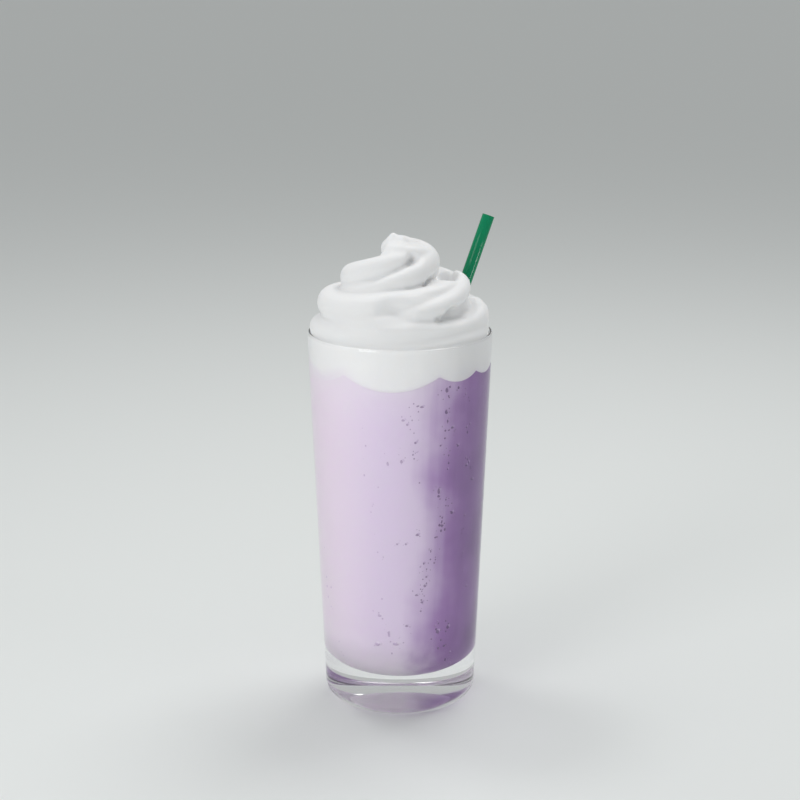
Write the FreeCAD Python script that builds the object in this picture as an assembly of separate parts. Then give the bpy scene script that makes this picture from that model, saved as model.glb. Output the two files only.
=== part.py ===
"""Lavender cream frappe: a heavy-based tumbler filled with the blended drink, a cap of
whipped cream piped in a rising swirl, and a straw that leans from the foot of the glass
to its rim. One STEP file is written for each piece. Millimetres, +Z up, with the origin
at the centre of the glass's underside.
"""

import FreeCAD
import Part
import math
import os

# Tumbler
glass_height = 166.0
rim_diameter = 80.0
foot_diameter = 66.0
wall = 2.0
base_thickness = 15.2
foot_round = 7.0
floor_round = 24.0
rim_round = 0.9
rim_round_limit = 0.45  # largest share of the wall that the rim's rounding may take
underside_depth = 6.0
standing_ring = 2.0

# Whipped cream inside the glass: it sinks into the drink in rounded lobes, each given by
# its width round the glass in degrees and its depth below the collar of cream.
collar_depth = 12.5
brim_gap = 1.0
first_lobe_angle = 232.0
lobes = (
    (64.0, 5.6),
    (30.0, 2.9),
    (26.0, 2.4),
    (46.0, 4.4),
    (56.0, 3.2),
    (40.0, 4.6),
    (52.0, 3.8),
    (46.0, 4.4),
)

# Piped swirl above the glass
swirl_height = 43.0
swirl_inset = 1.6
swirl_fullness = 1.6
coil_pitch = 13.4
coil_start = -0.56
coil_bulge = 4.6
crease_softness = 0.16
flute_depth = 0.9
flute_count = 3
relief_start = 0.35  # coils over which the relief grows above the rim
cap_drift = 4.0
cap_drift_power = 3
tip_lean = 3.0
tip_lean_power = 9
points_round = 48
sections_per_coil = 8

# Straw
straw_diameter = 5.5
straw_wall = 0.3
straw_length = 198.0
straw_rim_angle = 48.0
straw_foot_angle = 182.0
straw_foot_inset = 3.0
seat_clearance = 0.3


def vector(radius, angle, height):
    """A point given by its distance from the axis, its angle in degrees and its height."""
    turn = math.radians(angle)
    return FreeCAD.Vector(radius * math.cos(turn), radius * math.sin(turn), height)


def outer_radius(height):
    """Radius of the glass's straight, tapering side at a height."""
    taper = (rim_diameter - foot_diameter) / 2 / glass_height
    return foot_diameter / 2 + taper * height


def inner_radius(height):
    return outer_radius(height) - wall


def frustum(radius_at, low, high):
    """Solid of revolution that follows the glass's taper between two heights."""
    return Part.makeCone(
        radius_at(low), radius_at(high), high - low, FreeCAD.Vector(0, 0, low)
    )


def round_edges_at(solid, height, radius):
    """Rounds the circular edges that lie at one height."""
    edges = [
        edge
        for edge in solid.Edges
        if abs(edge.BoundBox.ZMin - height) < 1e-6
        and abs(edge.BoundBox.ZMax - height) < 1e-6
    ]
    return solid.makeFillet(radius, edges)


def make_cavity(level):
    """Inside of the glass from its floor up to a level."""
    return round_edges_at(
        frustum(inner_radius, base_thickness, level), base_thickness, floor_round
    )


def make_glass():
    """Tumbler with a thick base, a rounded foot and rim and a hollow underside."""
    body = round_edges_at(frustum(outer_radius, 0, glass_height), 0, foot_round)
    body = body.cut(make_cavity(glass_height))
    body = round_edges_at(body, glass_height, min(rim_round, rim_round_limit * wall))
    hollow_radius = foot_diameter / 2 - foot_round - standing_ring
    ball = (hollow_radius**2 + underside_depth**2) / (2 * underside_depth)
    centre = FreeCAD.Vector(0, 0, underside_depth - ball)
    return body.cut(Part.makeSphere(ball, centre))


def make_lobe(angle, width, depth, level):
    """Ball whose cap below a level spans one lobe at the wall and sinks by its depth."""
    wall_radius = inner_radius(level)
    half_chord = wall_radius * math.sin(math.radians(width / 2))
    radius = (half_chord**2 + depth**2) / (2 * depth)
    return Part.makeSphere(radius, vector(wall_radius, angle, level - depth + radius))


def make_cream_in_glass(cavity, brim):
    """Collar of cream under the rim, with the lobes that hang into the drink."""
    level = glass_height - collar_depth
    reach = rim_diameter
    collar = Part.makeCylinder(reach, brim, FreeCAD.Vector(0, 0, level))
    below = Part.makeCylinder(reach, level)
    cream = cavity.common(collar)
    edge = first_lobe_angle
    for width, depth in lobes:
        lobe = make_lobe(edge + width / 2, width, depth, level)
        cream = cream.fuse(cavity.common(below).common(lobe))
        edge += width
    return cream.removeSplitter()


def mound_radius(height):
    """Radius of the mound, measured in the creases between its coils."""
    share = min(max(height / swirl_height, 0.0), 1.0)
    root = inner_radius(glass_height) - swirl_inset
    return root * (1 - share**swirl_fullness)


def sway(height):
    """Sideways drift of the coils, to the right under the cap and back left at the tip."""
    share = height / swirl_height
    back = (cap_drift + tip_lean) * share**tip_lean_power
    return cap_drift * share**cap_drift_power - back


def coil_profile(phase):
    """Roundness of one coil, from 0 in the crease under it to 0 in the crease above it."""
    across = phase % 1.0
    arch = math.sin(math.pi * across)
    return math.sqrt(arch**2 + crease_softness**2) - crease_softness


def swirl_point(turn, coil):
    """Point of the swirl's skin, a share of a turn from the left and so many coils up."""
    height = coil_pitch * (coil - coil_start)
    step = 0.01
    rise = FreeCAD.Vector(mound_radius(height + step) - mound_radius(height), 0, step)
    outward = FreeCAD.Vector(rise.z, 0, -rise.x).normalize()
    grow = height / coil_pitch / relief_start
    fade = min(1.0, grow, (swirl_height - height) / coil_pitch)
    bulge = coil_bulge * coil_profile(coil - turn)
    ripple = math.cos(2 * math.pi * (coil - flute_count * turn))
    flute = flute_depth * ripple * (1 - height / swirl_height)
    skin = fade * (bulge + flute)
    point = vector(
        mound_radius(height) + skin * outward.x,
        180 + 360 * turn,
        glass_height + height + skin * outward.z,
    )
    return point + FreeCAD.Vector(sway(height), 0, 0)


def ring(points):
    """Smooth closed wire through points that are evenly shared round the turn."""
    count = len(points)
    curve = Part.BSplineCurve()
    curve.interpolate(
        Points=points,
        PeriodicFlag=True,
        Parameters=[i / count for i in range(count + 1)],
    )
    return Part.Wire(curve.toShape())


def make_swirl(brim):
    """Lofts the coils from a round root in the collar up to the leaning tip."""
    root_radius = inner_radius(brim) - wall
    turns = [i / points_round for i in range(points_round)]
    sections = [
        ring([vector(root_radius, 180 + 360 * turn, brim - drop) for turn in turns])
        for drop in (wall * 2, wall)
    ]
    coils = swirl_height / coil_pitch
    count = round(coils * sections_per_coil)
    for i in range(count):
        coil = coil_start + coils * i / count
        sections.append(ring([swirl_point(turn, coil) for turn in turns]))
    tip = FreeCAD.Vector(sway(swirl_height), 0, glass_height + swirl_height)
    sections.append(Part.Vertex(tip))
    return Part.makeLoft(sections, True, False)


def floor_level(radius):
    """Height of the inside of the glass's floor, which curves up to meet the wall."""
    past_flat = max(0.0, radius - (inner_radius(base_thickness) - floor_round))
    rise = floor_round - math.sqrt(max(0.0, floor_round**2 - past_flat**2))
    return base_thickness + rise


def straw_line():
    """Foot and direction of the straw: it stands on the floor and leans on the rim."""
    radius = straw_diameter / 2
    top = vector(
        inner_radius(glass_height) - radius - seat_clearance,
        straw_rim_angle,
        glass_height,
    )
    foot = vector(
        inner_radius(base_thickness) - radius - straw_foot_inset,
        straw_foot_angle,
        base_thickness,
    )
    direction = (top - foot).normalize()
    across = direction.cross(FreeCAD.Vector(0, 0, 1)).normalize()
    lift = 0.0
    for angle in range(0, 360, 10):
        turn = FreeCAD.Rotation(direction, angle)
        edge = foot + turn.multVec(across) * radius
        lift = max(lift, floor_level(math.hypot(edge.x, edge.y)) - edge.z)
    foot.z += lift + seat_clearance
    return foot, (top - foot).normalize()


def make_straw(foot, direction):
    radius = straw_diameter / 2
    tube = Part.makeCylinder(radius, straw_length, foot, direction)
    bore = Part.makeCylinder(radius - straw_wall, straw_length, foot, direction)
    return tube.cut(bore)


def main():
    brim = glass_height - brim_gap
    foot, direction = straw_line()
    reed = Part.makeCylinder(straw_diameter / 2, straw_length, foot, direction)
    cavity = make_cavity(brim)
    cream_below = make_cream_in_glass(cavity, brim)
    pieces = {
        "glass": make_glass(),
        "drink": cavity.cut(cream_below).cut(reed),
        "whipped_cream": cream_below.fuse(make_swirl(brim)).cut(reed),
        "straw": make_straw(foot, direction),
    }
    os.makedirs("parts", exist_ok=True)
    for name, shape in pieces.items():
        shape.exportStep(f"parts/{name}.step")
        print(
            f"{name}: {len(shape.Solids)} solid, {shape.Volume / 1000:.1f} ml, "
            f"valid {shape.isValid()}"
        )


main()
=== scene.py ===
import math
import random

import bpy
import numpy as np
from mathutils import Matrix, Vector


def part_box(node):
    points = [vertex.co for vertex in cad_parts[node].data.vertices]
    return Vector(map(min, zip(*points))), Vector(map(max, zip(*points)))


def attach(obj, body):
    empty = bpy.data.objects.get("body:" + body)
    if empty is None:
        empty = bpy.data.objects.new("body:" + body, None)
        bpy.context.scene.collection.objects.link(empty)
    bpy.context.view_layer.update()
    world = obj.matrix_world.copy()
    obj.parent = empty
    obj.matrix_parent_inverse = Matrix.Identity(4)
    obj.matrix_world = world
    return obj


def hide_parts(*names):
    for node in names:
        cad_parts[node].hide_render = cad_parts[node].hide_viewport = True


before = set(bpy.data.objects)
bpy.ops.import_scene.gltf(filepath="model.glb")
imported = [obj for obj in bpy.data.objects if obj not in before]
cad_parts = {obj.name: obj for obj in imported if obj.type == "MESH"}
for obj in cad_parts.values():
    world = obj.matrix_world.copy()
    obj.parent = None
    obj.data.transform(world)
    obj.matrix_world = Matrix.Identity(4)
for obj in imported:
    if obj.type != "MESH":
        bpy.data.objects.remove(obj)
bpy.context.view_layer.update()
bpy.ops.object.select_all(action="DESELECT")


# ---------------------------------------------------------------------------
# Tumbler. A tall, slightly tapering glass with a thick solid base, a rounded
# foot and a thin fire-polished rim. It is pressed and blown in one piece, so it
# is turned here from one outline, up the outside and down the inside.
# ---------------------------------------------------------------------------
mm = 0.001
glass_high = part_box("glass")[1]
rim_top = glass_high.z
rim_radius = glass_high.x
foot_radius = 33 * mm
wall = 2 * mm
base_thickness = 15.2 * mm
foot_round = 7 * mm
floor_round = 24 * mm
rim_round = 0.9 * mm
underside_depth = 6 * mm
standing_ring = 2 * mm
pole_ring = 0.5 * mm  # the smallest ring, which closes a turned body round its axis
flat_ring = 4 * mm
dome_rings = 16
taper = (rim_radius - foot_radius) / rim_top
lean = math.atan(taper)
round_steps = 20


def outer_radius(height):
    return foot_radius + taper * height


def inner_radius(height):
    return outer_radius(height) - wall


def arc(centre, radius, start, end):
    """Points (distance from the axis, height) round a centre, from one angle to another."""
    for i in range(round_steps + 1):
        angle = start + (end - start) * i / round_steps
        yield centre[0] + radius * math.cos(angle), centre[1] + radius * math.sin(angle)


def rounded_foot(radius_at, level, radius):
    """The arc from a flat bottom at a level up to the leaning side."""
    height = level + radius
    middle = radius_at(height) - radius / math.cos(lean)
    return list(arc((middle, height), radius, math.radians(-90), -lean))


def turned(name, outline, segments=160):
    """A closed body of revolution: a small disc, pulled from ring to ring along its outline."""
    bpy.ops.object.select_all(action="DESELECT")
    radius, height = outline[0]
    bpy.ops.mesh.primitive_circle_add(
        vertices=segments, radius=radius, fill_type="NGON", location=(0, 0, height)
    )
    bpy.ops.object.transform_apply()
    bpy.ops.object.mode_set(mode="EDIT")
    bpy.ops.mesh.select_all(action="SELECT")
    for (r, z), (next_r, next_z) in zip(outline, outline[1:]):
        bpy.ops.mesh.extrude_region_move(TRANSFORM_OT_translate={"value": (0, 0, next_z - z)})
        size = next_r / r
        bpy.ops.transform.resize(value=(size, size, 1), center_override=(0, 0, next_z))
    bpy.ops.mesh.select_all(action="SELECT")
    bpy.ops.mesh.normals_make_consistent(inside=False)
    bpy.ops.object.mode_set(mode="OBJECT")
    bpy.ops.object.shade_smooth_by_angle(angle=math.radians(40))
    body = bpy.context.object
    body.name = name
    return body


def hollow_height(radius, hollow_radius):
    """Height of the dome under the foot, at a distance from the axis."""
    ball = (hollow_radius**2 + underside_depth**2) / (2 * underside_depth)
    return underside_depth - (ball - math.sqrt(ball**2 - radius**2))


def tumbler_outline():
    """Up the hollow underside, the foot and the outside, and down the inside to its floor."""
    hollow_radius = foot_radius - foot_round - standing_ring
    outline = []
    for i in range(dome_rings + 1):
        r = pole_ring + (hollow_radius - pole_ring) * i / dome_rings
        outline.append((r, hollow_height(r, hollow_radius)))
    outline += rounded_foot(outer_radius, 0, foot_round)
    height = rim_top - rim_round
    for middle, start, end in (
        (outer_radius(height) - rim_round, -lean, math.radians(90)),
        (inner_radius(height) + rim_round, math.radians(90), math.radians(180) - lean),
    ):
        outline += arc((middle, height), rim_round, start, end)
    outline += reversed(rounded_foot(inner_radius, base_thickness, floor_round))
    return outline + [(flat_ring, base_thickness), (pole_ring, base_thickness)]


tumbler = turned("tumbler", tumbler_outline())

clear = bpy.data.materials.new("clear soda glass")
clear.use_nodes = True
nodes, links = clear.node_tree.nodes, clear.node_tree.links
surface = nodes["Principled BSDF"]
surface.inputs["Base Color"].default_value = (0.985, 0.995, 0.99, 1)
surface.inputs["Roughness"].default_value = 0.0
surface.inputs["IOR"].default_value = 1.5
surface.inputs["Transmission Weight"].default_value = 1.0
let_lamps_through = nodes.new("ShaderNodeBsdfTransparent")
ray = nodes.new("ShaderNodeLightPath")
either = nodes.new("ShaderNodeMixShader")
links.new(ray.outputs["Is Shadow Ray"], either.inputs["Fac"])
links.new(surface.outputs["BSDF"], either.inputs[1])
links.new(let_lamps_through.outputs["BSDF"], either.inputs[2])
links.new(either.outputs["Shader"], nodes["Material Output"].inputs["Surface"])
tumbler.data.materials.append(clear)
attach(tumbler, "root")
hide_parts("glass")


# ---------------------------------------------------------------------------
# Drink. Ice, milk and lavender blended to a thick, cloudy slush that fills the
# tumbler up into the cream. It wets the glass everywhere, so it is turned a
# hair wider than the bore and leaves no film of air behind the wall.
# ---------------------------------------------------------------------------
wetting = 0.12 * mm
drink_top = rim_top - 11.5 * mm
drink_rings = 24


def wet_radius(height):
    return inner_radius(height) + wetting


def drink_outline():
    """Across the bowl-shaped floor, up the wall and back over the top."""
    floor = base_thickness - wetting
    outline = [(pole_ring, floor), (flat_ring, floor)]
    outline += rounded_foot(wet_radius, floor, floor_round)
    height = outline[-1][1]
    for i in range(1, drink_rings + 1):
        level = height + (drink_top - height) * i / drink_rings
        outline.append((wet_radius(level), level))
    return outline + [(pole_ring, drink_top)]


drink = turned("blended_drink", drink_outline())


def mixed(tree, colour_a, colour_b, factor):
    """A Mix node between two colours or colour sockets."""
    mix = tree.nodes.new("ShaderNodeMix")
    mix.data_type = "RGBA"
    tree.links.new(factor, mix.inputs["Factor"])
    for socket, colour in ((mix.inputs["A"], colour_a), (mix.inputs["B"], colour_b)):
        if isinstance(colour, tuple):
            socket.default_value = (*colour, 1)
        else:
            tree.links.new(colour, socket)
    return mix.outputs["Result"]


def math_node(tree, operation, first, second=0.0, third=0.0):
    """A Math node between numbers or value sockets."""
    node = tree.nodes.new("ShaderNodeMath")
    node.operation = operation
    for socket, value in zip(node.inputs, (first, second, third)):
        if isinstance(value, (int, float)):
            socket.default_value = value
        else:
            tree.links.new(value, socket)
    return node.outputs[0]


def ramped(tree, value, low, high):
    """0 below one value and 1 above another, with a smooth change between them."""
    node = tree.nodes.new("ShaderNodeMapRange")
    node.interpolation_type = "SMOOTHSTEP"
    node.inputs["From Min"].default_value = low
    node.inputs["From Max"].default_value = high
    tree.links.new(value, node.inputs["Value"])
    return node.outputs["Result"]


def noise(tree, place, scale, detail=2.0, stretch=(1, 1, 1)):
    """Noise whose grain is one over the scale in metres, drawn out along an axis if asked."""
    if stretch != (1, 1, 1):
        mapping = tree.nodes.new("ShaderNodeMapping")
        mapping.inputs["Scale"].default_value = stretch
        tree.links.new(place, mapping.inputs["Vector"])
        place = mapping.outputs["Vector"]
    node = tree.nodes.new("ShaderNodeTexNoise")
    node.inputs["Scale"].default_value = scale
    node.inputs["Detail"].default_value = detail
    tree.links.new(place, node.inputs["Vector"])
    return node.outputs["Fac"]


lavender = (0.78, 0.68, 0.84)
# Partly the slush's own milky colour and partly painted light on its left.
milk_and_painted_light = (0.85, 0.76, 0.84)
violet = (0.405, 0.23, 0.53)
# Partly the drink's own deepest violet and partly painted shade.
deeper_violet_and_shade = (0.15, 0.075, 0.235)
creamy = (0.87, 0.82, 0.88)
# Painted light under the drink.
lit_from_below = (0.94, 0.84, 0.98)

slush = bpy.data.materials.new("lavender slush")
slush.use_nodes = True
tree = slush.node_tree
place = tree.nodes.new("ShaderNodeTexCoord").outputs["Object"]
axes = tree.nodes.new("ShaderNodeSeparateXYZ")
tree.links.new(place, axes.inputs["Vector"])
across, height = axes.outputs["X"], axes.outputs["Z"]
clouds = noise(tree, place, 30, 3)
streaks = noise(tree, place, 300, 2, (1, 1, 0.04))
low_down = ramped(tree, height, 95 * mm, 20 * mm)
wander = math_node(tree, "MULTIPLY_ADD", clouds, 30 * mm, across)
wander = math_node(tree, "MULTIPLY_ADD", streaks, 6 * mm, wander)
wander = math_node(tree, "MULTIPLY_ADD", low_down, 9 * mm, wander)
settled = ramped(tree, wander, 22.5 * mm, 45 * mm)
# Violet towards the right is the drink's own colour. The darkest violet far to the right is partly
# deeper drink and partly painted shade on the side turned from the lamps.
deeper = math_node(tree, "MULTIPLY_ADD", low_down, -5 * mm, wander)
deep_and_shaded_side = ramped(tree, deeper, 36 * mm, 62 * mm)
colour = mixed(tree, lavender, violet, settled)
colour = mixed(tree, colour, deeper_violet_and_shade, math_node(tree, "MULTIPLY", deep_and_shaded_side, 0.75))
# Paler towards the left: partly milkier slush and partly painted light on the side the left panel
# lights.
milk_and_painted_light_side = ramped(tree, math_node(tree, "MULTIPLY", across, -1.0), 4 * mm, 34 * mm)
colour = mixed(tree, colour, milk_and_painted_light, math_node(tree, "MULTIPLY", milk_and_painted_light_side, 0.7))
drifting = math_node(tree, "MULTIPLY_ADD", clouds, 20 * mm, height)
near_cream = ramped(tree, drifting, 140 * mm, 170 * mm)
pale_side = math_node(tree, "SUBTRACT", 1.0, settled)
cream_in_it = math_node(tree, "MULTIPLY", near_cream, pale_side)
colour = mixed(tree, colour, creamy, math_node(tree, "MULTIPLY", cream_in_it, 0.5))
# Painted light: the bowl-shaped bottom of the pale side is coloured paler in place of light
# carried down through the glass base.
under = ramped(tree, height, base_thickness + 27 * mm, base_thickness + 3 * mm)
painted_underlight = math_node(tree, "MULTIPLY", under, pale_side)
colour = mixed(tree, colour, lit_from_below, math_node(tree, "MULTIPLY", painted_underlight, 0.9))
surface = tree.nodes["Principled BSDF"]
tree.links.new(colour, surface.inputs["Base Color"])
surface.inputs["Roughness"].default_value = 0.35
surface.inputs["Specular IOR Level"].default_value = 0.2
surface.inputs["Subsurface Weight"].default_value = 0.35
surface.inputs["Subsurface Radius"].default_value = (1.0, 0.75, 1.0)
surface.inputs["Subsurface Scale"].default_value = 2.5 * mm
drink.data.materials.append(slush)
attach(drink, "root")
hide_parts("drink")


# ---------------------------------------------------------------------------
# Bubbles and pits. Air caught against the glass and small pits in the slush,
# thickest to the right of the front, where they run down in broken trails. Each is
# a shallow bead on the drink's skin, coloured darker as painted shade; all pits and
# some specks have a pale painted highlight beside them, up and to the right.
# ---------------------------------------------------------------------------
random.seed(11)
pits = (  # angle round the glass, level, half width and half height, all but the angle in mm
    (301, 148.0, 0.8, 1.3),
    (301, 138.5, 0.7, 1.1),
    (310, 148.0, 0.5, 0.6),
    (284, 141.5, 1.0, 0.6),
    (272, 136.0, 0.7, 0.6),
    (306, 131.0, 0.8, 0.6),
    (311, 122.5, 0.5, 0.5),
    (280, 126.0, 0.5, 0.5),
    (271, 118.0, 0.6, 0.8),
    (262, 117.0, 0.5, 0.9),
    (320, 112.5, 0.6, 0.5),
    (297, 104.0, 0.6, 1.4),
    (297, 101.5, 0.7, 0.7),
    (308, 93.0, 0.8, 0.8),
    (300, 88.0, 0.9, 0.7),
    (282, 85.0, 0.9, 0.7),
    (268, 81.0, 0.4, 0.4),
    (274, 81.0, 0.4, 0.4),
    (288, 61.5, 0.6, 0.7),
    (289, 65.5, 0.4, 0.4),
    (282, 57.5, 0.9, 0.6),
    (286, 54.0, 0.6, 0.5),
    (299, 39.5, 1.1, 1.2),
    (308, 40.5, 0.9, 1.1),
    (255, 48.0, 1.0, 0.9),
    (275, 43.5, 0.7, 0.6),
    (262, 40.0, 0.5, 1.4),
    (253, 34.5, 0.8, 0.7),
    (267, 35.0, 1.0, 0.6),
    (120, 60.0, 0.9, 1.0),
    (70, 110.0, 0.8, 1.2),
    (40, 45.0, 1.0, 0.8),
    (160, 128.0, 0.7, 0.9),
)
trails = (  # angles and levels in mm at the top and bottom, how many, largest radius in mm
    (300, 305, 150, 112, 22, 0.5),
    (312, 326, 150, 105, 18, 0.45),
    (306, 292, 100, 70, 22, 0.5),
    (292, 282, 80, 48, 18, 0.45),
    (296, 310, 50, 22, 16, 0.5),
    (276, 284, 146, 100, 14, 0.4),
    (315, 330, 95, 40, 14, 0.4),
    (240, 268, 140, 30, 18, 0.35),
    (20, 60, 150, 30, 40, 0.5),
    (80, 140, 150, 25, 44, 0.5),
    (160, 220, 150, 25, 36, 0.45),
)
flatness = 0.25  # depth of a bead against its width
# The darker cores are painted dimple shade; the pale lips beside them, up and to the right, are
# painted highlights.
pit_shade_size, pit_highlight_size = (1.4, 1.35), (1.75, 1.65)  # width and height against the pit's own
speck_shade_size, speck_highlight_size = (1.15, 1.15), (1.75, 1.6)
shade_proud, highlight_proud, speck_proud = 0.07, 0.05, 0.08
specks_round_a_pit = 3
share_with_highlights = 0.35


def bead(angle, level, half_width, half_height, proud, grown=(1, 1)):
    """A shallow bead that stands a little proud of the drink's skin, in degrees and mm."""
    half_width *= grown[0]
    half_height *= grown[1]
    turn = math.radians(angle)
    skin = wet_radius(level * mm) + (proud - flatness * half_width) * mm
    bpy.ops.mesh.primitive_ico_sphere_add(
        subdivisions=2,
        radius=mm,
        location=(skin * math.cos(turn), skin * math.sin(turn), level * mm),
        rotation=(0, 0, turn),
        scale=(flatness * half_width, half_width, half_height),
    )
    bpy.ops.object.transform_apply()
    return bpy.context.object


shade_dots, highlight_dots = [], []
bpy.ops.object.select_all(action="DESELECT")
for angle, level, half_width, half_height in pits:
    # Each pit gets a painted highlight up and to the right, and painted shade in its core.
    highlight_dots.append(bead(angle + 1, level + 0.55, half_width, half_height, highlight_proud, pit_highlight_size))
    shade_dots.append(bead(angle, level, half_width, half_height, shade_proud, pit_shade_size))
    for i in range(specks_round_a_pit):
        small = half_width * random.uniform(0.2, 0.45)
        aside, above = random.gauss(0, 3.0), random.gauss(0, 2.2)
        shade_dots.append(bead(angle + aside, level + above, small, small, speck_proud))
for top_angle, low_angle, top, low, count, largest in trails:
    for i in range(count):
        share = random.random()
        size = largest * (0.35 + 0.65 * random.random() ** 2)
        angle = top_angle + (low_angle - top_angle) * share + random.gauss(0, 2.5)
        level = top + (low - top) * share
        tall = size * random.uniform(0.8, 1.5)
        if random.random() < share_with_highlights:
            highlight_dots.append(bead(angle + 0.6, level + 0.35, size, tall, highlight_proud, speck_highlight_size))
        shade_dots.append(bead(angle, level, size, tall, shade_proud, speck_shade_size))


def joined(name, pieces):
    """One smooth-shaded piece out of many, which keeps the first one's place."""
    bpy.ops.object.select_all(action="DESELECT")
    for piece in pieces:
        piece.select_set(True)
    bpy.context.view_layer.objects.active = pieces[0]
    bpy.ops.object.join()
    bpy.ops.object.shade_smooth()
    bpy.context.object.name = name
    return bpy.context.object


painted_pit_shade = joined("painted_pit_shade", shade_dots)
painted_pit_highlights = joined("painted_pit_highlights", highlight_dots)


def bead_finish(name, left, right, roughness):
    """A wet finish for painted pit shade and painted highlights, deepening with the drink from the
    milky side to the violet side.
    """
    finish = bpy.data.materials.new(name)
    finish.use_nodes = True
    tree = finish.node_tree
    place = tree.nodes.new("ShaderNodeTexCoord").outputs["Object"]
    axes = tree.nodes.new("ShaderNodeSeparateXYZ")
    tree.links.new(place, axes.inputs["Vector"])
    patches = noise(tree, place, 350, 1)
    patchy = math_node(tree, "MULTIPLY_ADD", patches, 20 * mm, axes.outputs["X"])
    surface = tree.nodes["Principled BSDF"]
    shade = mixed(tree, left, right, ramped(tree, patchy, 0.0, 36 * mm))
    tree.links.new(shade, surface.inputs["Base Color"])
    surface.inputs["Roughness"].default_value = roughness
    return finish


# Painted shade in the pits, deepest on the violet side.
painted_pit_shade.data.materials.append(
    bead_finish("shaded pit", (0.60, 0.48, 0.67), (0.17, 0.085, 0.24), 0.4)
)
# Painted highlights beside the pits, up and to the right.
painted_pit_highlights.data.materials.append(
    bead_finish("painted pit highlight", (0.80, 0.71, 0.85), (0.45, 0.30, 0.56), 0.3)
)
for piece in (painted_pit_shade, painted_pit_highlights):
    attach(piece, "root")
    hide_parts("drink")


# ---------------------------------------------------------------------------
# Cream in the glass. The first squeeze of whipped cream spreads to the wall
# and sinks into the drink in soft lobes, which show through the side. It is
# turned like the drink, and its two lowest rings are then let down lobe by lobe.
# ---------------------------------------------------------------------------
collar_level = rim_top - 12.5 * mm
first_lobe_angle = 232
lobes = (  # width round the glass in degrees, depth below the level in mm
    (64, 5.6),
    (30, 2.9),
    (26, 2.4),
    (46, 4.4),
    (56, 3.2),
    (40, 4.6),
    (52, 3.8),
    (46, 4.4),
)
cream_press = 0.2 * mm  # how far the cream reaches into the wall, so that no air shows
cream_core = 10 * mm
brim = rim_top - rim_round
dome_rise = 0.6 * mm
spread = 4 * mm


def lobe_depth(angle):
    """How far the cream hangs below its level at an angle round the glass."""
    start = first_lobe_angle
    while angle < start:
        angle += 360
    for width, depth in lobes:
        if angle <= start + width:
            half_chord = inner_radius(collar_level) * math.sin(math.radians(width / 2))
            ball = (half_chord**2 + (depth * mm) ** 2) / (2 * depth * mm)
            off = math.radians(angle - start - width / 2)
            chord = 2 * inner_radius(collar_level) * math.sin(abs(off) / 2)
            return depth * mm - ball + math.sqrt(max(ball**2 - chord**2, 0))
        start += width
    return 0


def cream_radius(height):
    return inner_radius(height) + cream_press


def collar_outline():
    """Out along the underside, up the wall to the brim and in over the top."""
    return [
        (cream_core, collar_level + 1.5 * mm),
        (cream_radius(collar_level) - spread, collar_level),
        (cream_radius(collar_level), collar_level),
        (cream_radius(rim_top - 6 * mm), rim_top - 6 * mm),
        (cream_radius(brim), brim),
        (inner_radius(brim) - spread, brim + dome_rise),
        (cream_core, brim + dome_rise),
    ]


collar = turned("cream_in_glass", collar_outline(), segments=480)
edge_distance = collar.data.attributes.new("above_edge", "FLOAT", "POINT")
for vertex in collar.data.vertices:
    x, y, z = vertex.co
    angle = math.degrees(math.atan2(y, x))
    hang = max(lobe_depth(angle), 0)
    if abs(z - collar_level) < 0.01 * mm:
        z = collar_level - hang
        radius = math.hypot(x, y)
        narrower = 1 - taper * hang / radius
        vertex.co = (x * narrower, y * narrower, z)
    edge_distance.data[vertex.index].value = z - (collar_level - hang)


soft_stain = (0.82, 0.75, 0.84)
faint_stain = (0.84, 0.80, 0.86)
wet_edge = (0.86, 0.82, 0.88)


def soaked(tree, place, colour):
    """Lavender that soaks up into the cream's lower edge: softly on the left, thinly all round."""
    above = tree.nodes.new("ShaderNodeAttribute")
    above.attribute_name = "above_edge"
    axes = tree.nodes.new("ShaderNodeSeparateXYZ")
    tree.links.new(place, axes.inputs["Vector"])
    soft_side = ramped(tree, axes.outputs["X"], -10 * mm, -34 * mm)
    rags = noise(tree, place, 180, 3)
    ragged = math_node(tree, "MULTIPLY_ADD", rags, 3.5 * mm, above.outputs["Fac"])
    blurred = ramped(tree, ragged, 8 * mm, 1 * mm)
    crisp = ramped(tree, ragged, 3.6 * mm, 1.6 * mm)
    stain = mixed(tree, faint_stain, soft_stain, soft_side)
    colour = mixed(tree, colour, stain, math_node(tree, "MULTIPLY", blurred, soft_side))
    return mixed(tree, colour, wet_edge, math_node(tree, "MULTIPLY", crisp, 0.6))


def whipped(name, duller, whiter, depth, stained=False):
    """Soft cream between two whites, into which light sinks by a depth in mm."""
    finish = bpy.data.materials.new(name)
    finish.use_nodes = True
    tree = finish.node_tree
    place = tree.nodes.new("ShaderNodeTexCoord").outputs["Object"]
    colour = mixed(tree, duller, whiter, noise(tree, place, 45, 3))
    if stained:
        colour = soaked(tree, place, colour)
    surface = tree.nodes["Principled BSDF"]
    tree.links.new(colour, surface.inputs["Base Color"])
    surface.inputs["Roughness"].default_value = 0.5
    surface.inputs["Specular IOR Level"].default_value = 0.3
    surface.inputs["Subsurface Weight"].default_value = 0.8
    surface.inputs["Subsurface Radius"].default_value = (1.0, 0.95, 0.9)
    surface.inputs["Subsurface Scale"].default_value = depth * mm
    froth = tree.nodes.new("ShaderNodeBump")
    froth.inputs["Distance"].default_value = 0.25 * mm
    froth.inputs["Strength"].default_value = 0.25
    tree.links.new(noise(tree, place, 900, 4), froth.inputs["Height"])
    tree.links.new(froth.outputs["Normal"], surface.inputs["Normal"])
    return finish


collar.data.materials.append(
    whipped("cream against glass", (0.86, 0.86, 0.87), (0.90, 0.90, 0.90), 0.7, stained=True)
)
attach(collar, "root")
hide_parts("whipped_cream")
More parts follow.
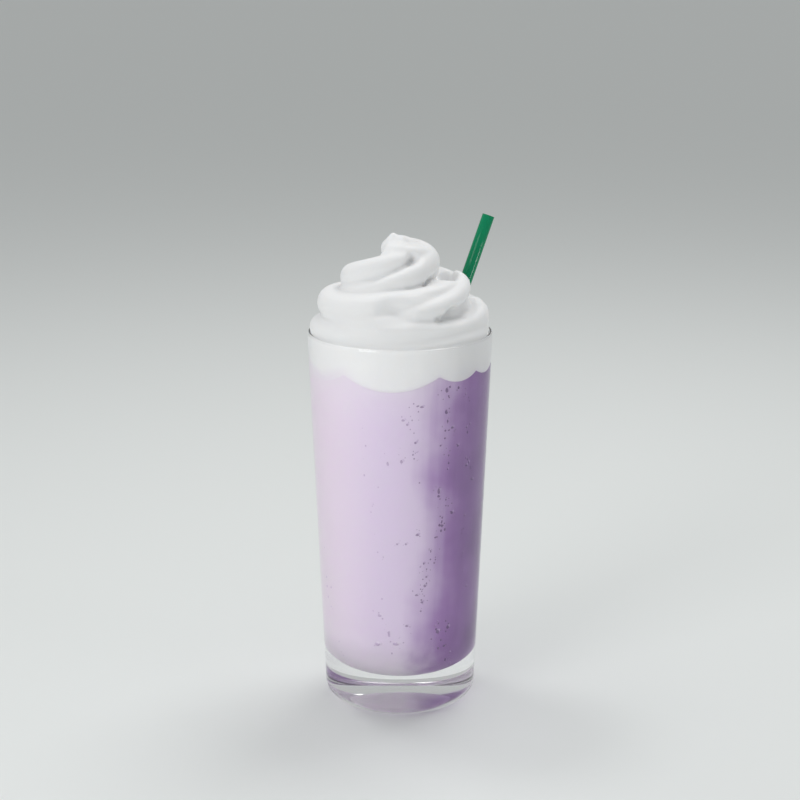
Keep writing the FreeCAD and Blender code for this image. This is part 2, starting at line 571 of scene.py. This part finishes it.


# ---------------------------------------------------------------------------
# Swirl. Whipped cream piped in a rope that climbs two and a half times round, folds
# over itself and is pulled off to a soft point. Ropes follow that path over a mound,
# melt into one skin and are pressed in where the folds leave hollows.
# ---------------------------------------------------------------------------
ropes = {  # turn, distance from the axis, height above the rim, thickness, all but the turn in mm
    "coil": (
        (-0.3, 27.5, 0.5, 4),
        (-0.15, 32, 1.2, 4.8),
        (0, 34, 2, 4.9),
        (0.1, 33.4, 3, 5.2),
        (0.2, 32.8, 4.2, 5),
        (0.3, 32.2, 4.6, 4.4),
        (0.4, 32.2, 4.6, 4.4),
        (0.47, 32.4, 5.6, 5.8),
        (0.54, 32.2, 6.6, 6.3),
        (0.62, 31.4, 7.6, 6.4),
        (0.75, 30.6, 9.6, 6.4),
        (0.88, 30, 11.4, 6.5),
        (1, 29.2, 12.6, 6.4),
        (1.08, 28.4, 12.2, 7.2),
        (1.16, 26.8, 12.4, 8),
        (1.25, 24.4, 14, 8),
        (1.34, 22.4, 16, 7),
        (1.42, 22.2, 17.6, 6.2),
        (1.5, 24, 17.4, 5.6),
        (1.62, 23.4, 18.8, 6),
        (1.75, 21.6, 20.8, 6.2),
        (1.88, 20.6, 21.8, 6),
        (1.98, 19.7, 23, 6.2),
        (2.06, 18, 24.9, 6.7),
        (2.13, 15.6, 27.6, 6.3),
        (2.2, 13.2, 30.4, 5.4),
        (2.28, 10.6, 32.4, 4.4),
        (2.34, 8.6, 33.2, 3.4),
    ),
    "belly": (
        (0.06, 31.4, 8, 2.6),
        (0.13, 31.8, 8.4, 4.2),
        (0.21, 31.8, 8.8, 4.6),
        (0.27, 31.2, 8.8, 3.8),
        (0.31, 30.6, 8.8, 2.4),
    ),
    "skirt": (
        (0.07, 32.6, 6, 2.4),
        (0.14, 33.2, 6.4, 3.9),
        (0.22, 33.5, 6.8, 4.1),
        (0.3, 33, 7, 3.6),
        (0.34, 32.4, 7, 2.8),
    ),
    "cap": (
        (2.09, 23.2, 19.6, 0.8),
        (2.13, 22.4, 20.6, 2),
        (2.19, 20.4, 22.8, 3.4),
        (2.27, 17.2, 25.4, 4.8),
        (2.37, 12.8, 28.4, 6),
        (2.48, 10.8, 30.8, 6.3),
        (2.65, 7.8, 33.3, 6),
        (2.85, 5, 34.8, 4.8),
        (3.03, 3.6, 36.6, 4),
        (3.03, 3.2, 38.8, 3.3),
        (3.02, 2.9, 40.6, 2.5),
        (3.02, 3, 42.2, 1.2),
    ),
    "crown": (
        (2.05, 3.6, 35.4, 3.8),
        (2.2, 4.6, 35.2, 4.6),
        (2.35, 6.6, 34, 4.9),
        (2.48, 8.4, 32.4, 5),
        (2.58, 8.4, 31, 4.6),
    ),
    "brow": (
        (2.1, 6.6, 35.4, 2.2),
        (2.18, 7.8, 35.6, 3.1),
        (2.26, 8.8, 35.4, 3.6),
        (2.34, 9.8, 34.6, 3.8),
        (2.42, 10.8, 33.4, 3.8),
        (2.5, 11.4, 32, 3.8),
    ),
    "fold": (
        (2.12, 9.4, 33.2, 2.4),
        (2.19, 10.2, 33.5, 3.2),
        (2.25, 10.8, 33.4, 3.1),
        (2.29, 11.2, 33.2, 2.4),
    ),
    "saddle": (
        (0.02, 1.6, 38.4, 3.2),
        (0.56, 0.4, 38.2, 3.3),
        (0.54, 2.4, 37.6, 3.4),
        (0.53, 4.6, 36.1, 3.8),
        (0.52, 7.2, 34, 4),
        (0.51, 10, 31, 4.2),
    ),
    "right knob": (
        (0.455, 33.4, 4.5, 4),
        (0.485, 33.6, 7.2, 4.4),
        (0.51, 33, 10, 3.8),
        (0.53, 32.2, 12, 2.4),
    ),
    "waist": (
        (2, 22.6, 18.6, 3),
        (2.08, 22.6, 19.2, 3.6),
        (2.16, 20.6, 20.8, 4.4),
        (2.26, 17.6, 22.2, 4.6),
    ),
    "upper ridge": (
        (1.24, 25, 17.4, 3.4),
        (1.3, 24.6, 18.6, 3.8),
        (1.37, 24, 19.6, 3.8),
        (1.44, 23.6, 20.4, 3.4),
        (1.5, 23, 21.2, 2.6),
    ),
    "lower ridge": (
        (1.2, 29.4, 10.2, 3.4),
        (1.26, 29.6, 11.8, 4.3),
        (1.32, 29.2, 13.8, 4.5),
        (1.38, 28.4, 16.2, 4.3),
        (1.45, 27.2, 19, 3.9),
        (1.51, 26.4, 21.2, 3.2),
        (1.545, 25.6, 23.2, 2),
        (1.56, 25.2, 24.5, 0.8),
    ),
    "front ridge": (
        (0.22, 33, 6.6, 2.8),
        (0.29, 33.8, 6.8, 3),
        (0.36, 34, 6.4, 2.8),
        (0.42, 34, 6.6, 3),
        (0.48, 34, 8, 4.2),
        (0.54, 33.2, 8.2, 4.6),
    ),
    "rim ridge": (
        (-0.1, 34, 0.6, 2.2),
        (0.05, 35.6, 0.4, 2),
        (0.15, 36, 0.5, 1.7),
        (0.25, 36.1, 0.6, 1.7),
        (0.32, 35.6, 1.2, 2.2),
        (0.38, 35.3, 1.5, 2.8),
        (0.45, 35.4, 1.2, 3),
        (0.6, 35.2, 0.8, 3),
        (0.8, 35.2, 0.6, 2.8),
        (0.95, 35.2, 0.4, 2.4),
    ),
    "tucked ridge": (
        (1.33, 27.4, 8.4, 1.6),
        (1.37, 27.6, 9.8, 2.6),
        (1.42, 27.4, 11.2, 3.2),
        (1.48, 26.8, 12.2, 3.4),
        (1.54, 26, 12.8, 3),
    ),
}
mound = (  # distance from the axis, height above the rim, in mm
    (36.5, -5),
    (36.2, -1),
    (34, 1),
    (31, 4),
    (28, 8),
    (25, 12),
    (22, 16),
    (18.5, 20),
    (14.5, 24),
    (10, 28),
    (6, 31),
    (2.5, 33),
)
hollows = (  # place as in the ropes, reach, then how far out and up, in mm
    ((0.24, 31.0, 13.6), 10, -3, 0.3),
    ((0.215, 30.0, 17.0), 6, -0.8, 0),
    ((0.37, 32.0, 11.0), 6.5, -4, 0.5),
    ((0.333, 33.0, 9.8), 3.6, -2.8, 0),
    ((0.352, 32.5, 10.0), 3.6, -1.6, 0),
    ((0.425, 32.0, 12.0), 5.5, -3, 0.3),
    ((0.4, 31.0, 12.0), 5, -2, 0.2),
    ((0.315, 14.0, 32.4), 4.4, -4, -1.8),
    ((0.285, 15.5, 31.0), 4, -2.2, -0.9),
    ((0.25, 17.0, 29.0), 4, -0.9, -0.3),
    ((0.385, 20.0, 22.6), 5.5, -4.2, 0),
    ((0.42, 20.5, 23.6), 6, -4.6, 0.6),
    ((0.465, 21.0, 23.0), 6, -1.6, -3.5),
    ((0.5, 21.5, 22.0), 6, -0.6, -2.5),
    ((0.49, 16.5, 23.5), 7.5, 0, -5),
    ((0.44, 18.5, 24.0), 4, -0.5, -2.4),
    ((0.525, 19.2, 22.5), 6.5, 0, -5),
    ((0.52, 22.0, 22.8), 4.5, 0, -3),
    ((0.553, 21.2, 23.0), 5.5, 0, -4),
    ((0.535, 24.0, 23.0), 3.6, 0, -2),
    ((0.13, 24.0, 21.0), 6, 0.4, 0),
    ((0.02, 3.0, 42.6), 2.6, 0, 0.4),
    ((0.02, 3.0, 43.0), 1.4, 0, 0.4),
)
stations_between = 10
thinnest = 0.2
skin_grain = 0.56 * mm


def round_the_glass(turn, radius, height):
    """A point in mm from the axis and above the rim, a share of a turn on from the left."""
    angle = math.pi + 2 * math.pi * turn
    out = Vector((math.cos(angle), math.sin(angle), 0)) * radius
    return (out + Vector((0, 0, height))) * mm + Vector((0, 0, rim_top))


def between(stations):
    """A smooth run through the stations, which passes exactly through each of them."""
    ends = [stations[0], *stations, stations[-1]]
    for before, here, there, after in zip(ends, ends[1:], ends[2:], ends[3:]):
        for i in range(stations_between):
            s = i / stations_between
            yield [
                b + s * (c - a) / 2
                + s**2 * (a - 2.5 * b + 2 * c - d / 2)
                + s**3 * (1.5 * (b - c) + (d - a) / 2)
                for a, b, c, d in zip(before, here, there, after)
            ]
    yield list(stations[-1])


def piped(name, stations):
    """One rope of cream: a curve whose thickness in mm changes from station to station."""
    curve = bpy.data.curves.new(name, "CURVE")
    curve.dimensions = "3D"
    curve.bevel_depth = mm
    curve.bevel_resolution = 6
    curve.use_fill_caps = True
    path = list(between(stations))
    line = curve.splines.new("POLY")
    line.points.add(len(path) - 1)
    for point, (turn, radius, height, thickness) in zip(line.points, path):
        point.co = (*round_the_glass(turn, radius, height), 1)
        point.radius = max(thickness, thinnest)
    rope = bpy.data.objects.new(name, curve)
    bpy.context.collection.objects.link(rope)
    return rope


def pressed(points, place, reach, out, up):
    """Moves the skin round a place, most at its middle and nothing beyond its reach."""
    middle = round_the_glass(*place)
    away = Vector((middle.x, middle.y, 0)).normalized() * out * mm + Vector((0, 0, up * mm))
    far = np.linalg.norm(points - np.array(middle), axis=1) / (reach * mm)
    share = np.clip(1 - far, 0, 1)
    share = share**2 * (3 - 2 * share)
    points += share[:, None] * np.array(away)


def melted(piece, rounds):
    """Draws one closed skin over all that overlaps in a piece, and softens it."""
    skin = piece.modifiers.new("skin", "REMESH")
    skin.mode = "VOXEL"
    skin.voxel_size = skin_grain
    skin.use_smooth_shade = True
    bpy.ops.object.modifier_apply(modifier="skin")
    soften = piece.modifiers.new("soften", "SMOOTH")
    soften.factor = 0.5
    soften.iterations = rounds
    bpy.ops.object.modifier_apply(modifier="soften")


lengths = [piped(name, stations) for name, stations in ropes.items()]
bpy.ops.object.select_all(action="DESELECT")
for rope in lengths:
    rope.select_set(True)
bpy.context.view_layer.objects.active = lengths[0]
bpy.ops.object.convert(target="MESH")
heap_outline = [(radius * mm, rim_top + height * mm) for radius, height in mound]
heap = turned("mound", heap_outline, segments=96)
swirl = joined("cream_swirl", [heap, *lengths])
melted(swirl, rounds=10)
points = np.empty(len(swirl.data.vertices) * 3)
swirl.data.vertices.foreach_get("co", points)
points = points.reshape(-1, 3)
for place, reach, out, up in hollows:
    pressed(points, place, reach, out, up)
swirl.data.vertices.foreach_set("co", points.ravel())
swirl.data.update()
melted(swirl, rounds=4)
swirl.data.materials.clear()
swirl.data.materials.append(
    whipped("whipped cream", (0.82, 0.82, 0.83), (0.87, 0.87, 0.87), 1.6)
)
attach(swirl, "root")
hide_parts("whipped_cream")


# ---------------------------------------------------------------------------
# Straw. A plain extruded plastic tube, cut square at both ends, which stands on
# the floor of the glass and leans out over the rim through the cream.
# ---------------------------------------------------------------------------
straw_wall = 0.3 * mm
straw_radius = 2.75 * mm
lengthwise = 12
tube_points = np.array([v.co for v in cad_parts["straw"].data.vertices])
tube_middle = tube_points.mean(axis=0)
along = Vector(np.linalg.svd(tube_points - tube_middle, full_matrices=False)[2][0])
along = along if along.z > 0 else -along
reach = (tube_points - tube_middle) @ np.array(along)
straw_foot = Vector(tube_middle) + along * float(reach.min())
straw_length = float(reach.max() - reach.min())

bpy.ops.object.select_all(action="DESELECT")
bpy.ops.mesh.primitive_circle_add(
    vertices=64,
    radius=straw_radius,
    location=straw_foot,
    rotation=along.to_track_quat("Z", "Y").to_euler(),
)
straw = bpy.context.object
straw.name = "straw_tube"
bpy.ops.object.transform_apply()
bpy.ops.object.mode_set(mode="EDIT")
bpy.ops.mesh.select_all(action="SELECT")
for i in range(lengthwise):
    bpy.ops.mesh.extrude_region_move(
        TRANSFORM_OT_translate={"value": along * straw_length / lengthwise}
    )
bpy.ops.mesh.select_all(action="SELECT")
bpy.ops.mesh.normals_make_consistent(inside=False)
bpy.ops.object.mode_set(mode="OBJECT")
tube_wall = straw.modifiers.new("wall", "SOLIDIFY")
tube_wall.thickness = straw_wall
tube_wall.offset = -1
bpy.ops.object.modifier_apply(modifier="wall")
cut_edge = straw.modifiers.new("cut edge", "BEVEL")
cut_edge.width = 0.07 * mm
cut_edge.segments = 2
cut_edge.limit_method = "ANGLE"
cut_edge.angle_limit = math.radians(50)
bpy.ops.object.modifier_apply(modifier="cut edge")
bpy.ops.object.shade_smooth_by_angle(angle=math.radians(35))

green = bpy.data.materials.new("green plastic")
green.use_nodes = True
tree = green.node_tree
place = tree.nodes.new("ShaderNodeTexCoord").outputs["Object"]
duller_green = (0.0, 0.215, 0.09)
brighter_green = (0.0, 0.25, 0.112)
drawn = mixed(tree, duller_green, brighter_green, noise(tree, place, 60, 2))
surface = tree.nodes["Principled BSDF"]
tree.links.new(drawn, surface.inputs["Base Color"])
surface.inputs["Roughness"].default_value = 0.15
surface.inputs["Specular IOR Level"].default_value = 0.25
surface.inputs["Subsurface Weight"].default_value = 0.1
surface.inputs["Subsurface Scale"].default_value = 0.5 * mm
straw.data.materials.append(green)
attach(straw, "root")
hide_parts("straw")


# ---------------------------------------------------------------------------
# Table, lamps and camera. A plain pale surface under an even pale sky. Two soft
# lamps hang high behind the glass, with a broad panel at the front left and a small
# card low on the right, which draws the thin line of light down the straw.
# ---------------------------------------------------------------------------
bpy.ops.object.select_all(action="DESELECT")
bpy.ops.mesh.primitive_plane_add(size=30)
table = bpy.context.object
table.name = "table"
pale = bpy.data.materials.new("pale table")
pale.use_nodes = True
surface = pale.node_tree.nodes["Principled BSDF"]
surface.inputs["Base Color"].default_value = (0.80, 0.82, 0.81, 1)
surface.inputs["Roughness"].default_value = 0.75
table.data.materials.append(pale)


def lamp(name, place, aim, size, power):
    """A soft lamp: its place, what it is turned to and its size in metres, its power in watts."""
    data = bpy.data.lights.new(name, "AREA")
    data.shape = "RECTANGLE"
    data.size, data.size_y = size
    data.energy = power
    held = bpy.data.objects.new(name, data)
    held.location = place
    held.rotation_euler = (Vector(aim) - Vector(place)).to_track_quat("-Z", "Y").to_euler()
    bpy.context.scene.collection.objects.link(held)


lamp("overhead", (0.26, 0.34, 1.00), (0, 0, 0.14), (0.45, 0.45), 3.1)
lamp("key", (-0.30, 0.28, 1.10), (0, 0, 0.12), (0.2, 0.2), 1.5)
lamp("low card", (0.545, -0.26, 0.09), (0.03, 0.02, 0.19), (0.07, 0.09), 0.35)
lamp("left panel", (-0.53, -0.64, 0.35), (0, 0, 0.10), (0.35, 0.7), 2.6)

sky = bpy.data.worlds.new("pale sky")
bpy.context.scene.world = sky
sky.use_nodes = True
sky.node_tree.nodes["Background"].inputs["Color"].default_value = (0.46, 0.47, 0.47, 1)

camera_data = bpy.data.cameras.new("camera")
camera = bpy.data.objects.new("camera", camera_data)
bpy.context.scene.collection.objects.link(camera)
bpy.context.scene.camera = camera
camera.location = (0, -0.793, 0.340)
aim = Vector((0, 0, 0.135))
camera.rotation_euler = (aim - camera.location).to_track_quat("-Z", "Y").to_euler()
camera_data.sensor_width = 36
camera_data.lens = 84.8
bpy.context.scene.view_settings.view_transform = "Standard"
